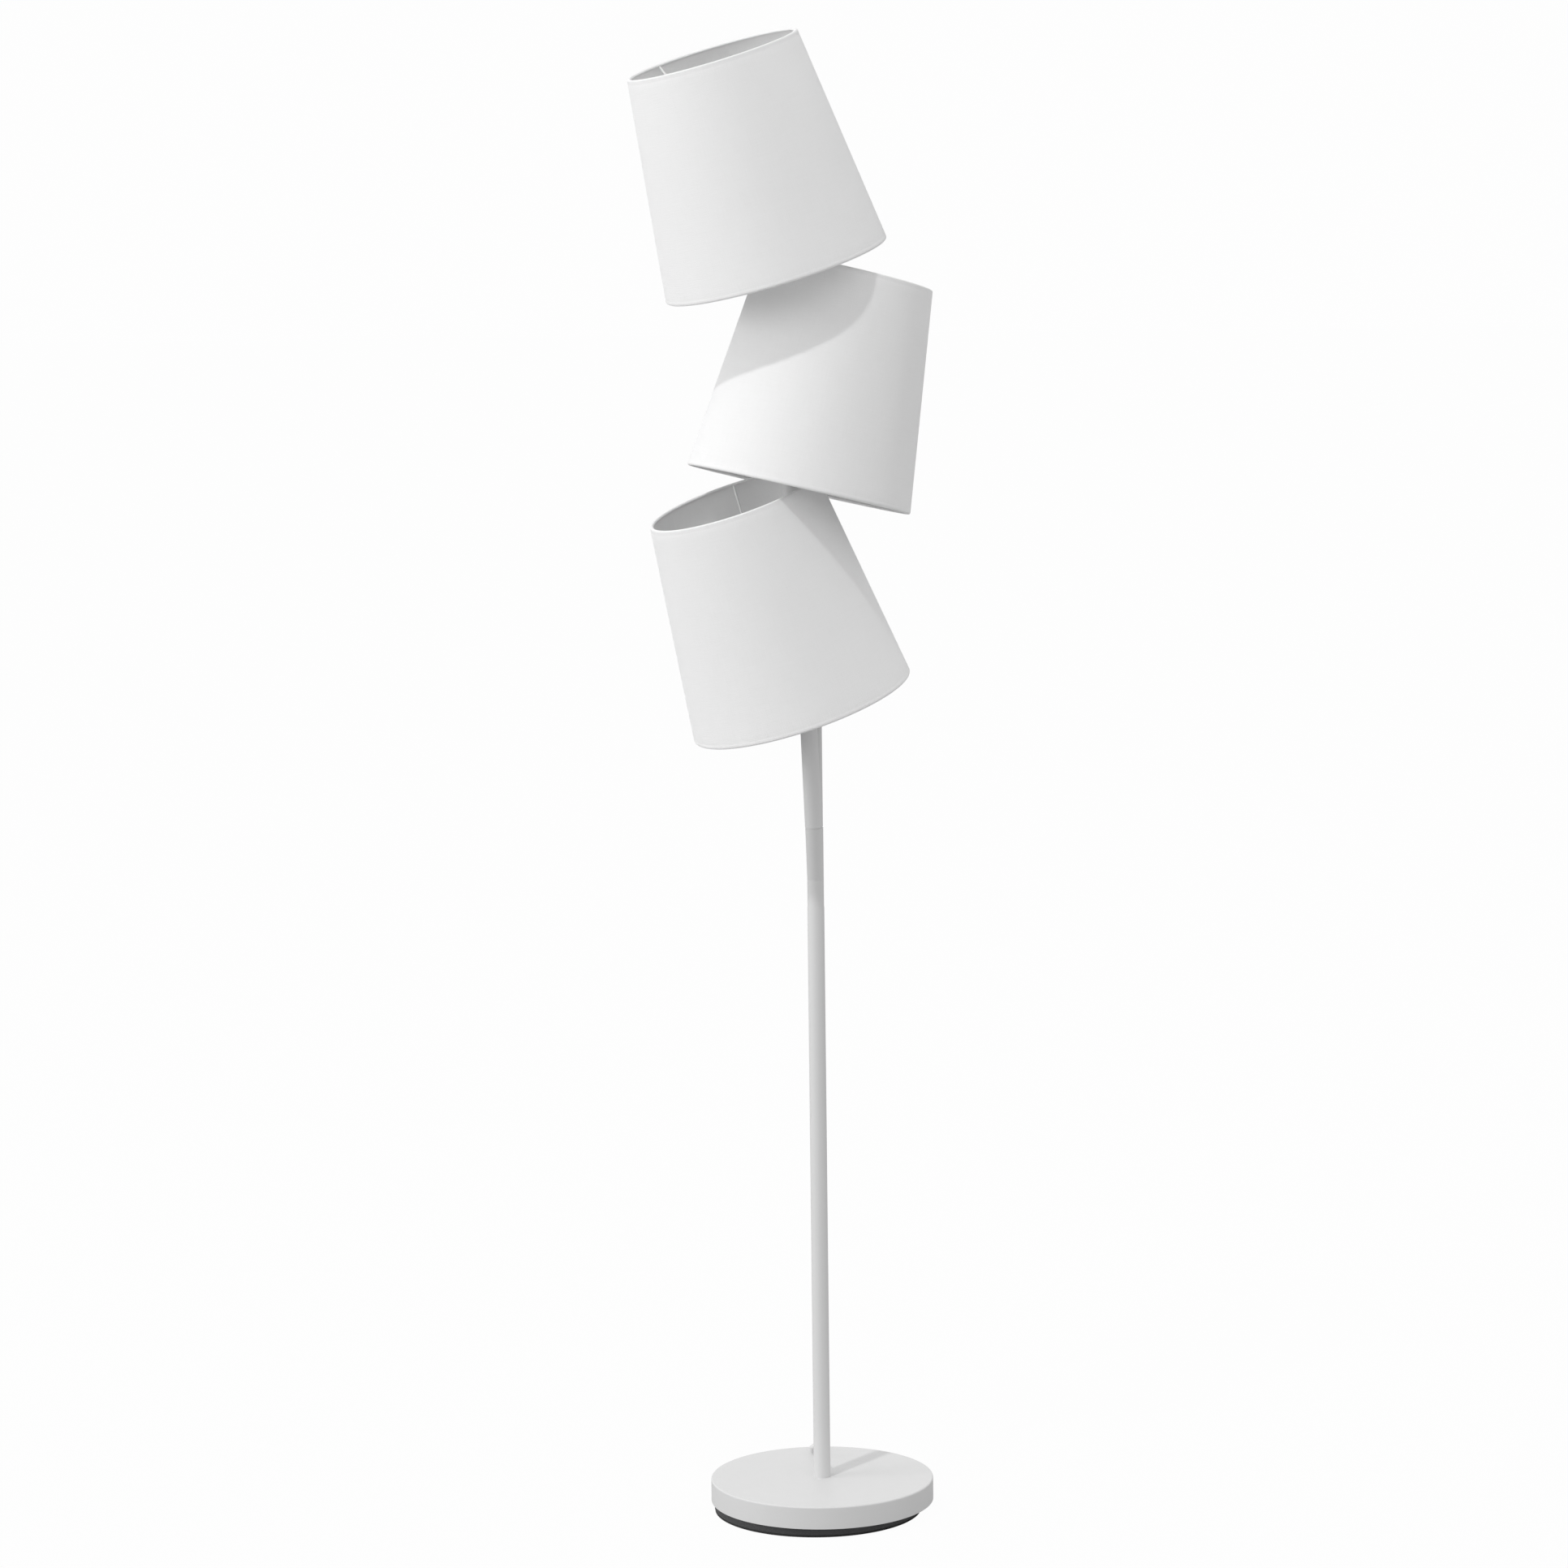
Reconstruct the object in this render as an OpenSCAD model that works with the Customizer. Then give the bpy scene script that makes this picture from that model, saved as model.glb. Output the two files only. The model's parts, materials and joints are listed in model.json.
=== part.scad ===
// Floor lamp: a weighted round base, a thin pole and three tapered fabric shades
// stacked above each other on bent stems and tilted left, right, left.
// Origin: on the floor under the pole's axis. +Z up, +Y to the back, where the cord leaves.

/* [Base] */
// Diameter of the pressed steel cover
cover_d = 240; // [225:1:300]
// Height of the cover's side
cover_side_h = 24; // [18:0.1:32]
// Sheet thickness of the cover
cover_wall = 1.2; // [0.8:0.1:2]
// Inner radius of the cover's pressed edge
cover_edge_in = 0.4; // [0.2:0.1:4]
// Play on the radius between the cast weight and the cover's side
weight_play = 6.8; // [4:0.1:12]
// Gap between the weight and the cover's side where they are closest
weight_gap = 2.2; // [0.2:0.1:4]
// Thickness of the weight's disc
weight_h = 22; // [16:0.5:26]
// Height of the weight's centre boss, which carries the cover
boss_h = 10; // [6:0.1:16]
// Diameter of the weight's centre boss
boss_d = 90; // [60:1:140]
// Least gap between the bolt and the hole through the shifted weight
hole_gap = 4; // [1:0.1:6]
// Least lap of the washer over the rim of that hole
washer_lap = 2.5; // [1:0.1:6]
// Least gap between the washer and its recess under the weight
recess_gap = 3; // [1:0.1:8]
// Depth of that recess
recess_depth = 10; // [9.8:0.1:12]
// Chamfer round the weight
weight_chamfer = 0.6; // [0.2:0.1:4]
// Inset of the felt pad's edge from the weight's
pad_inset = 0.5; // [0:0.1:10]
// Thickness of the felt pad
pad_h = 2; // [1:0.5:5]
// Diameter of the base bolt
bolt_d = 10; // [8:1:10]
// Width across the flats of the bolt's head
bolt_head_w = 17; // [13:1:19]
// Height of the bolt's head
bolt_head_h = 6.4; // [5:0.1:6.6]
// Thickness of the base washer
washer_t = 3; // [1.5:0.5:3]

/* [Pole] */
// Outer diameter of the lower tube and of the front stem
tube_d = 18; // [17:0.5:22]
// Wall of the tubes
tube_wall = 1.2; // [0.8:0.1:1.5]
// Length of the lower tube
tube_len = 624.1; // [500:0.1:800]
// Diameter of the coupler's ring and of the fork
fork_d = 17.6; // [16.6:0.1:20]
// Height of the coupler's visible ring
ring_h = 4.4; // [2:0.1:12]
// Height of the fork
fork_h = 80.7; // [70:0.1:110]
// Height of the fork's branch point above its foot
branch_rise = 26; // [20:0.5:30]
// Height of the groove at the foot of each stem
groove_h = 1.2; // [0.5:0.1:3]
// Sideways place of the front stem's foot
front_x = -7.9; // [-9:0.1:-7]
// Place of the front stem's foot in front of the pole's axis
front_y = -16.2; // [-18:0.1:-16]
// Height of the front stem's foot above the rear stem's
front_rise = 2; // [0:0.1:4]
// Length of the front stem from its foot to its bow
front_low_len = 150; // [140:1:160]
// Length of the front stem from its bow to its end
front_up_len = 221; // [214:1:228]
// Bend radius of the front stem's bow
front_bend_r = 300; // [200:10:400]
// Length of the spigots inside the tubes
spigot_len = 20; // [12:1:30]
// Slip clearance of a spigot in its tube, on the radius
slip = 0.05; // [0.02:0.01:0.15]
// Outer diameter of the rear stem
rear_d = 17; // [16:0.5:18]
// Height of the rear stem's first bend above its foot
rear_rise = 120.4; // [116:0.1:124]
// Place of the rear stem's second bend on the lower shade's axis
rear_bend_s = 34; // [32:0.5:35]
// Place of the rear stem's end on that axis
rear_end_s = 48; // [47:0.5:50]
// Bend radius of the rear stem
rear_bend_r = 40; // [36:1:44]
// Outer diameter of the arm pipes and nipples
pipe_d = 10; // [8:0.5:10]
// Wall of the arm pipes
pipe_wall = 1; // [0.8:0.1:1.5]
// Diameter of the junction ball on the front stem
ball_d = 26; // [25:1:34]
// Length of the ball's neck on the end of the front stem
ball_neck = 11; // [10:0.5:14]
// Length of the ball's spigot in the front stem
ball_spigot = 15; // [10:1:25]
// Place of the middle arm's bend on the middle shade's axis
middle_bend_s = 38; // [36:0.5:40]
// Bend radius of the middle arm
middle_bend_r = 18; // [15:1:20]
// Sideways place of the top arm's upright run
neck_x = -29.1; // [-29.5:0.1:-28.5]
// Height of the top arm's knee above the stems' foot
knee_rise = 544.4; // [540:0.1:548]
// Height of the top arm's neck above the stems' foot
neck_rise = 597.1; // [596:0.1:599]
// Place of the top arm's last bend on the top shade's axis
top_bend_s = 46.7; // [46:0.1:48]
// Bend radius of the top arm's knee
knee_bend_r = 100; // [80:5:120]
// Bend radius of the top arm's neck
neck_bend_r = 30; // [25:1:32]
// Bend radius of the top arm's last bend
top_bend_r = 40; // [30:1:42]

/* [Shades] */
// Angle of the plane in which the shades tilt, turned from +X about the pole
tilt_az = 22; // [0:1:45]
// Outer diameter of a shade's lower rim
rim_low_d = 240.4; // [225:0.2:260]
// Outer diameter of a shade's upper rim
rim_up_d = 183.4; // [172:0.2:200]
// Height of a shade along its axis
shade_h = 234; // [224:1:250]
// Thickness of the fabric on its backing
fabric_t = 0.7; // [0.5:0.1:1]
// Wire of the rings
wire_d = 2.6; // [2:0.1:3]
// Wire of the spider's arms
arm_d = 2.4; // [2:0.1:2.5]
// Free gap between a wire ring and the hem rolled round it
hem_gap = 0.05; // [0.05:0.05:0.3]
// Lower shade: sideways place of its lower rim's centre
lower_x = -12.9; // [-18:0.1:-8]
// Lower shade: height of its lower rim's centre above the stems' foot
lower_rise = 129.4; // [124:0.1:134]
// Lower shade: tilt about the level axis across the tilt plane
lower_tilt = -18.7; // [-21:0.1:-16]
// Lower shade: turn of the spider's first arm about the shade's axis
lower_arm_az = 68.5; // [0:0.5:119.5]
// Middle shade: sideways place of its lower rim's centre
middle_x = -14.1; // [-17:0.1:-10]
// Middle shade: height of its lower rim's centre above the stems' foot
middle_rise = 358.3; // [355:0.1:364]
// Middle shade: tilt
middle_tilt = 14.3; // [12:0.1:15]
// Middle shade: turn of the spider's first arm
middle_arm_az = 0; // [0:0.5:119.5]
// Top shade: sideways place of its lower rim's centre
top_x = -36.2; // [-38:0.1:-33]
// Top shade: height of its lower rim's centre above the stems' foot
top_rise = 588.3; // [586:0.1:594]
// Top shade: tilt
top_tilt = -17; // [-19:0.1:-16]
// Top shade: turn of the spider's first arm
top_arm_az = 109.5; // [0:0.5:119.5]

/* [Lampholders] */
// Height of a lampholder's foot above the lower rim's plane, along the shade's axis
holder_s = 60; // [56:1:64]
// Length of the lampholder's tapered cap
cap_len = 20; // [16:1:24]
// Depth of the pipe's seat in the cap
seat_len = 8; // [5:1:10]
// Outer diameter of the lampholder
holder_d = 28; // [26:0.5:29]
// Length of the lampholder's shell up to the shoulder
shell_len = 32; // [28:1:38]
// Diameter of the shoulder under the shade's fitter ring
shoulder_d = 33; // [31:0.5:34]
// Length of the threaded neck above the shoulder
neck_len = 10; // [9:1:14]
// Radial play of the fitter ring on the neck, and of the nut
fit_gap = 0.08; // [0.03:0.01:0.1]
// Outer diameter of the fitter ring
fitter_d = 40; // [38:0.5:44]
// Thickness of the fitter ring
fitter_t = 1.2; // [0.8:0.1:2]
// Outer diameter of the shade ring nut
nut_d = 33.6; // [32:0.1:34]
// Height of the shade ring nut
nut_h = 7; // [5:0.5:8]
// Diameter of the bulb's screw cap
bulb_cap_d = 13.9; // [13:0.1:14]
// Diameter of the bulb's glass
bulb_d = 45; // [35:1:50]
// Length of the bulb with its cap
bulb_len = 78; // [74:1:90]

/* [Cord and switch] */
// Diameter of the mains cord
cord_d = 4.4; // [4:0.1:4.5]
// Height of the cord's exit above the floor
exit_z = 62; // [61:0.5:63]
// Diameter of the leads inside the tubes
lead_d = 3.4; // [2.5:0.1:3.6]
// Number of turns from the coil's outside to its inside
coil_turns = 4; // [2:1:4]
// Distance between neighbouring turns and between the two layers
coil_pitch = 4.85; // [4.8:0.01:5]
// Radius of the innermost turn
coil_inner_r = 17.9; // [17.6:0.1:20]
// Length of the switch's housing
switch_len = 56; // [52:1:58]
// Width of the switch's housing
switch_w = 22; // [20:1:24]
// Height of the switch's housing
switch_h = 15; // [15:0.5:17]
// Wall of the switch's housing
switch_wall = 1.6; // [1.2:0.1:2]
// Diameter of the switch's push button
button_d = 13; // [10:0.5:14]
// Travel of the push button
button_travel = 2.5; // [1:0.1:3]
// Radial play of the push button in its hole
button_gap = 0.1; // [0.05:0.01:0.1]
// Width of the plug
plug_w = 35.3; // [30:0.1:36]
// Length of the plug's body
plug_len = 36; // [32:1:38]
// Thickness of the plug's body
plug_h = 13.7; // [12:0.1:15]
// Diameter of the plug's pins
pin_d = 4; // [4:0.1:4.8]
// Length of the plug's pins
pin_len = 19; // [17:0.5:19]
// Distance between the plug's pins
pin_pitch = 18.6; // [17:0.1:19]

/* [Hidden] */

$fn = 96;
e = 0.01;
white = [0.93, 0.93, 0.92];
ivory = [0.9, 0.89, 0.86];
black = [0.12, 0.12, 0.12];
iron = [0.2, 0.2, 0.21];
steel = [0.7, 0.71, 0.72];
brass = [0.8, 0.65, 0.3];

// Base heights and the weight's play
cover_r = cover_d / 2;
cover_edge_r = cover_edge_in + cover_wall;
weight_top = pad_h + weight_h;
cover_top = weight_top + boss_h + cover_wall;
weight_r = cover_r - cover_wall - weight_play;
weight_shift = weight_play - weight_gap;
weight_hole_r = bolt_d / 2 + weight_shift + hole_gap;
washer_d = 2 * (weight_hole_r + weight_shift + washer_lap);
recess_d = washer_d + 2 * (weight_shift + recess_gap);
recess_top = pad_h + recess_depth;

// Pole heights
bend_thin = 0.1;
tube_top = cover_top + tube_len;
fork_foot = tube_top + ring_h;
fork_top = fork_foot + fork_h;
stem_foot = fork_top + groove_h;
bore_d = tube_d - 2 * tube_wall;
rear_bore_d = rear_d - 2 * tube_wall;
coupler_stud_d = 12;
coupler_stud_len = 20;
coupler_bore_d = 9;
splice_foot = tube_top - 75;
splice_len = 30;
lead_offset = 2.3;
lead_step = 4;
branch_foot = fork_foot + branch_rise;
passage_d = 7.5;

// The front stem leaves the fork in front of the rear stem, bows out past the lower
// lampholder and comes back towards the tilt plane at the junction ball
front_foot = [front_x, front_y, stem_foot + front_rise];
front_lean = [-0.054, -0.0388, 1];
front_back = [-0.054, 0.0488, 1];
front_bow = front_foot + front_low_len * front_lean;
front_end = front_bow + front_up_len * front_back;
ball_centre = front_end + ball_neck * unit(front_back);

// Shades: [x, z, tilt] of each lower rim's centre in the tilt plane, and the spider's turn
LOWER = [lower_x, stem_foot + lower_rise, lower_tilt, lower_arm_az];
MIDDLE = [middle_x, stem_foot + middle_rise, middle_tilt, middle_arm_az];
TOP = [top_x, stem_foot + top_rise, top_tilt, top_arm_az];
function on_axis(shade, s) =
    [shade[0] + s * sin(shade[2]), 0, shade[1] + s * cos(shade[2])];

// The rear stem runs straight up through the lower rim, leans left and bends onto the axis
rear_knee = [0, 0, stem_foot + rear_rise];
rear_corner = on_axis(LOWER, rear_bend_s);
reducer_collar = 4;
reducer_spigot = 8;

// Arm pipes, as corner points from the junction ball to the pipe's end in the cap
pipe_end_s = holder_s + seat_len;
arm_start = 8;
middle_corner = on_axis(MIDDLE, middle_bend_s);
middle_arm_start = ball_centre + arm_start * unit(middle_corner - ball_centre);
middle_path = [middle_arm_start, middle_corner, on_axis(MIDDLE, pipe_end_s)];
top_knee = [neck_x, 0, stem_foot + knee_rise];
top_neck = [neck_x, 0, stem_foot + neck_rise];
top_corner = on_axis(TOP, top_bend_s);
top_arm_start = ball_centre + arm_start * unit(top_knee - ball_centre);
top_path = [top_arm_start, top_knee, top_neck, top_corner, on_axis(TOP, pipe_end_s)];

// Lampholder levels along the shade's axis
shell_foot = holder_s + cap_len;
shoulder_s = shell_foot + shell_len;
neck_top = shoulder_s + neck_len;
neck_r = holder_d / 2 - 0.1;
fitter_top = shoulder_s + fitter_t;
nut_foot = fitter_top + 0.05;
socket_r = 9.5;
sleeve_r = 8.2;
sleeve_wall = 1;
socket_floor = shell_foot + 6;
bulb_foot = neck_top - 25;
bulb_neck = neck_top - 1;
bulb_centre = bulb_foot + bulb_len - bulb_d / 2;

// Shade profile: the hem's circles touch the outer face of the tapered wall
shade_slope = atan((rim_low_d - rim_up_d) / 2 / shade_h);
hem_in_r = wire_d / 2 + hem_gap;
hem_r = hem_in_r + fabric_t;
function face_r(s) = rim_low_d / 2 - s * tan(shade_slope);
low_hem = [face_r(hem_r) - hem_r / cos(shade_slope), hem_r];
up_hem = [face_r(shade_h - hem_r) - hem_r / cos(shade_slope), shade_h - hem_r];
low_hem_end = -230;
up_hem_end = 130;
function arc_points(centre, r, from, to, n) =
    [for (i = [0 : n]) centre + r * [cos(from + i * (to - from) / n), sin(from + i * (to - from) / n)]];

// Cord: centre lines, with the exit at the pole's back
cord_r = cord_d / 2;
exit_az = 98;
exit_dir = [cos(exit_az), sin(exit_az), 0];
bushing_out = 27;
switch_az = -15;
switch_pos = [56.5, 134, 0];
switch_dir = [cos(switch_az), sin(switch_az), 0];
cord_level = switch_h / 2;
coil_pos = [-49.5, 144, 0];
coil_start_az = 105;
coil_out_turns = coil_turns - 0.2917;
coil_outer_r = coil_inner_r + coil_turns * coil_pitch;
function coil_r(t) = coil_inner_r + coil_pitch * abs(t - coil_turns);
function coil_z(t) = cord_r + coil_pitch * min(1, max(0, 2 * (t - coil_turns) + 0.5));
function coil_point(t) = coil_pos
    + [coil_r(t) * cos(coil_start_az + 360 * t), coil_r(t) * sin(coil_start_az + 360 * t), coil_z(t)];
coil_steps = round(24 * (coil_turns + coil_out_turns));
coil_points = [for (i = [0 : coil_steps]) coil_point(i * (coil_turns + coil_out_turns) / coil_steps)];
coil_last = coil_points[coil_steps];
coil_lead = 1.1 * cord_d;
coil_in_dir = [cos(coil_start_az - 90), sin(coil_start_az - 90), 0];
coil_out_dir = [0, 1, 0];
coil_in = coil_points[0] + coil_lead * coil_in_dir;
coil_out = coil_last + coil_lead * coil_out_dir;
switch_in = switch_pos - switch_len / 2 * switch_dir + [0, 0, cord_level];
switch_out = switch_pos + switch_len / 2 * switch_dir + [0, 0, cord_level];
plug_pos = [17.5, 178.8, plug_h / 2];
plug_dir = switch_dir;
pole_points = [6 * exit_dir + [0, 0, exit_z], bushing_out * exit_dir + [0, 0, exit_z],
    [-5, 35, 60.7], [-6.4, 44, 57.7], [-8.1, 54, 53.8], [-9.9, 64, 50.1], [-11.6, 75, 46.4],
    [-12.7, 86.5, 43.1], [-12.5, 97.5, 40.6], [-10.8, 108, 38.8], [-8, 117.2, 37.9],
    [-4.9, 125.5, 36.3], [-1.2, 132.9, 32.6], [3.2, 139, 26.6], [8.9, 143.1, 19.1],
    [16, 144.6, 12], switch_in - 1.1 * cord_d * switch_dir, switch_in];
switch_points = [switch_out, switch_out + 1.1 * cord_d * switch_dir, [95.3, 124.2, 7],
    [102.2, 126.4, 5.8], [107.6, 131.8, 4.4], [110.6, 139.8, 3.1], [110.4, 149.6, 2.35],
    [106.2, 160.2, 2.2], [97.6, 170, 2.2], [86.2, 178.3, 2.2], [73, 185.2, 2.2],
    [58, 191.1, 2.2], [41, 195.6, 2.2], [23, 197.6, 2.2], [5, 196.8, 2.2],
    coil_in + 31 * coil_in_dir, coil_in + 15 * coil_in_dir, coil_in];
tail_points = [coil_out, coil_out + coil_lead * coil_out_dir, [-13.5, 158.3, 7],
    [-11.9, 165.2, 7], [-8, 171.8, 6.95], [-1.9, 176.9, 6.9], [5.2, 179.7, 6.85],
    plug_pos - 1.1 * cord_d * plug_dir, plug_pos];

function unit(v) = v / norm(v);
function path_length(points, i = 0) =
    i > len(points) - 2 ? 0 : norm(points[i + 1] - points[i]) + path_length(points, i + 1);

// Least gap of the coil to itself: distance between centres of points over 0.6 of a turn apart
coil_gap = min([for (i = [0 : coil_steps]) for (j = [i + 15 : 1 : coil_steps])
    norm(coil_points[i] - coil_points[j])]) - cord_d;
echo(coil_gap_mm = coil_gap);
echo(cord_length_mm = path_length(pole_points) + path_length(switch_points)
    + path_length(coil_points) + 2 * coil_lead + path_length(tail_points));

// Places children with +Z along v at point p
module along(p, v) {
    u = unit(v);
    translate(p) rotate([0, acos(u.z), atan2(u.y, u.x)]) children();
}

module in_tilt_plane() {
    rotate([0, 0, tilt_az]) children();
}

// Children in a shade's own frame: origin at the lower rim's centre, +Z along its axis
module on_shade(shade) {
    in_tilt_plane() translate([shade[0], 0, shade[1]]) rotate([0, shade[2], 0]) children();
}

// Round bar through corner points, with a bend of the given radius at each inner corner. A
// bend is drawn a hair thinner than the bar, as bending leaves it, and runs on into both
function bend_angle(p, i) = acos(unit(p[i] - p[i - 1]) * unit(p[i + 1] - p[i]));
function trim(p, r, i) = i == 0 || i == len(p) - 1 ? 0 : r[i - 1] * tan(bend_angle(p, i) / 2);
module bent_bar(p, r, d) {
    for (i = [0 : len(p) - 2]) {
        u = unit(p[i + 1] - p[i]);
        from = p[i] + u * trim(p, r, i);
        to = p[i + 1] - u * trim(p, r, i + 1);
        along(from, u) cylinder(d = d, h = norm(to - from));
    }
    for (i = [1 : len(p) - 2]) {
        t = unit(p[i] - p[i - 1]);
        u = unit(p[i + 1] - p[i]);
        n = unit(u - (u * t) * t);
        z = cross(t, n);
        c = p[i] - t * trim(p, r, i) + n * r[i - 1];
        run_on = 0.5 / r[i - 1] * 180 / PI;
        multmatrix([[-n.x, t.x, z.x, c.x], [-n.y, t.y, z.y, c.y], [-n.z, t.z, z.z, c.z], [0, 0, 0, 1]])
            rotate([0, 0, -run_on]) rotate_extrude(angle = bend_angle(p, i) + 2 * run_on)
                translate([r[i - 1], 0]) circle(d = d - bend_thin);
    }
}

// The same bar with its ends drawn out, for bores
function longer(p, a, b) = let (n = len(p) - 1)
    [for (i = [0 : n]) i == 0 ? p[0] - a * unit(p[1] - p[0])
        : i == n ? p[n] + b * unit(p[n] - p[n - 1]) : p[i]];

module bent_tube(p, r, d, wall) {
    difference() {
        bent_bar(p, r, d);
        bent_bar(longer(p, 1, 1), r, d - 2 * wall);
    }
}

// Cord: one polyhedron swept along the points, its rings square to the mean direction
function tangent(p, i) = let (n = len(p) - 1)
    i == 0 ? unit(p[1] - p[0]) : i == n ? unit(p[n] - p[n - 1])
    : unit(unit(p[i] - p[i - 1]) + unit(p[i + 1] - p[i]));
function ring(p, i, r, sides) = let (t = tangent(p, i),
        a = unit(cross(abs(t.z) > 0.9 ? [1, 0, 0] : [0, 0, 1], t)), b = cross(t, a))
    [for (k = [0 : sides - 1]) let (w = 360 * (k + 0.5) / sides) p[i] + r * (cos(w) * a + sin(w) * b)];
module cord(p, sides) {
    n = len(p);
    side_r = cord_r / sqrt(cos(180 / sides));
    polyhedron(
        points = [for (i = [0 : n - 1]) each ring(p, i, side_r, sides)],
        faces = concat([[for (k = [0 : sides - 1]) k]],
            [for (i = [0 : n - 2]) for (k = [0 : sides - 1]) let (m = (k + 1) % sides)
                each [[i * sides + k, (i + 1) * sides + k, (i + 1) * sides + m],
                    [i * sides + k, (i + 1) * sides + m, i * sides + m]]],
            [[for (k = [sides - 1 : -1 : 0]) (n - 1) * sides + k]]));
}

// ---- Base ----

module shifted_weight() {
    translate([-weight_shift, 0, 0]) children();
}

module base_pad() {
    color(black) shifted_weight() cylinder(r = weight_r - pad_inset, h = pad_h, $fn = 180);
}

module base_weight() {
    w = weight_r;
    c = weight_chamfer;
    color(iron) difference() {
        shifted_weight() rotate_extrude($fn = 180) polygon([[0, pad_h], [w - c, pad_h],
            [w, pad_h + c], [w, weight_top - c], [w - c, weight_top], [0, weight_top]]);
        shifted_weight() translate([0, 0, pad_h - 1]) cylinder(d = recess_d, h = recess_depth + 1);
        shifted_weight() cylinder(r = weight_hole_r, h = weight_top + 1);
    }
    color(iron) difference() {
        translate([0, 0, weight_top]) cylinder(d = boss_d, h = boss_h);
        shifted_weight() translate([0, 0, weight_top - 1]) cylinder(r = weight_hole_r, h = boss_h + 2);
    }
}

module base_washer() {
    color(steel) translate([0, 0, recess_top - washer_t]) difference() {
        cylinder(d = washer_d, h = washer_t);
        translate([0, 0, -1]) cylinder(d = bolt_d + 0.5, h = washer_t + 2);
    }
}

module base_bolt() {
    head_foot = recess_top - washer_t - bolt_head_h;
    color(steel) translate([0, 0, head_foot]) {
        cylinder(d = bolt_head_w / cos(30), h = bolt_head_h, $fn = 6);
        cylinder(d = bolt_d, h = cover_top + spigot_len - 2 - head_foot);
    }
}

module base_cover() {
    side = cover_top - cover_side_h;
    outer = arc_points([cover_r - cover_edge_r, cover_top - cover_edge_r], cover_edge_r, 0, 90, 8);
    inner = arc_points([cover_r - cover_edge_r, cover_top - cover_edge_r], cover_edge_in, 90, 0, 6);
    hole_r = bolt_d / 2 + 0.25;
    color(white) rotate_extrude($fn = 180) polygon(concat([[cover_r, side]], outer,
        [[hole_r, cover_top], [hole_r, cover_top - cover_wall]], inner, [[cover_r - cover_wall, side]]));
}

// ---- Pole ----

module foot_insert() {
    color(steel) translate([0, 0, cover_top]) difference() {
        cylinder(d = bore_d - 2 * slip, h = spigot_len + 2);
        translate([0, 0, -1]) cylinder(d = bolt_d + 0.1, h = spigot_len + 4);
    }
}

module lower_tube() {
    color(white) difference() {
        translate([0, 0, cover_top]) cylinder(d = tube_d, h = tube_len);
        translate([0, 0, cover_top - 1]) cylinder(d = bore_d, h = tube_len + 2);
        along([0, 0, exit_z], exit_dir) cylinder(d = 8, h = tube_d);
    }
}

// Tapered bushing that the cord leaves through, held in the tube by a flange on each side
module cord_bushing() {
    w = tube_d / 2;
    b = cord_r + 0.1;
    color(white) along([0, 0, exit_z], exit_dir) rotate_extrude() polygon([[b, w - 2.6], [3.9, w - 2.6],
        [3.9, w + 0.8], [5.5, w + 0.8], [5.5, w + 2.2], [4.6, w + 3], [b + 0.9, bushing_out],
        [b, bushing_out]]);
}

module supply_lead() {
    start = 5.8 * exit_dir + [0, 0, exit_z];
    color(ivory) bent_bar([start, [0, 0, exit_z], [0, 0, splice_foot]], [5], 4);
}
module lead_splice() {
    color(ivory) translate([0, 0, splice_foot]) cylinder(d = 12, h = splice_len);
}

module pole_coupler() {
    color(white) difference() {
        union() {
            translate([0, 0, tube_top - 30]) cylinder(d = bore_d - 2 * slip, h = 30);
            translate([0, 0, tube_top]) cylinder(d = fork_d, h = ring_h);
            translate([0, 0, fork_foot]) cylinder(d = coupler_stud_d, h = coupler_stud_len);
        }
        translate([0, 0, tube_top - 31]) cylinder(d = coupler_bore_d, h = ring_h + coupler_stud_len + 32);
    }
}

// Casting with a straight socket for the rear stem and a branch for the front stem, whose
// foot is square to the stem's lean
module fork() {
    front_top = front_foot - groove_h * unit(front_lean);
    branch = front_top - [0, 0, branch_foot];
    color(white) in_tilt_plane() difference() {
        union() {
            translate([0, 0, fork_foot]) cylinder(d = fork_d, h = fork_h);
            difference() {
                along([0, 0, branch_foot], branch) cylinder(d = fork_d, h = norm(branch) + 6);
                along(front_top, front_lean) cylinder(r = 14, h = 20);
            }
            translate([0, 0, fork_top]) cylinder(d = rear_bore_d + 1, h = groove_h);
            translate([0, 0, fork_top]) cylinder(d = rear_bore_d - 2 * slip, h = spigot_len);
            along(front_top, front_lean) cylinder(d = bore_d + 1, h = groove_h);
            along(front_top, front_lean) cylinder(d = bore_d - 2 * slip, h = spigot_len);
        }
        translate([0, 0, fork_foot - 1]) cylinder(d = coupler_stud_d + 0.1, h = coupler_stud_len + 2);
        translate([0, 0, fork_foot]) cylinder(d = coupler_bore_d, h = fork_h + spigot_len + 5);
        along([0, 0, branch_foot], branch) cylinder(d = passage_d, h = norm(branch) + 6);
        along(front_top, front_lean) translate([0, 0, -2]) cylinder(d = passage_d, h = spigot_len + 5);
    }
}

front_path = [front_foot, front_bow, front_end];
module front_stem() {
    color(white) in_tilt_plane() bent_tube(front_path, [front_bend_r], tube_d, tube_wall);
}

rear_path = [[0, 0, stem_foot], rear_knee, rear_corner, on_axis(LOWER, rear_end_s)];
module rear_stem() {
    color(white) in_tilt_plane() bent_tube(rear_path, [rear_bend_r, rear_bend_r], rear_d, tube_wall);
}

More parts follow.
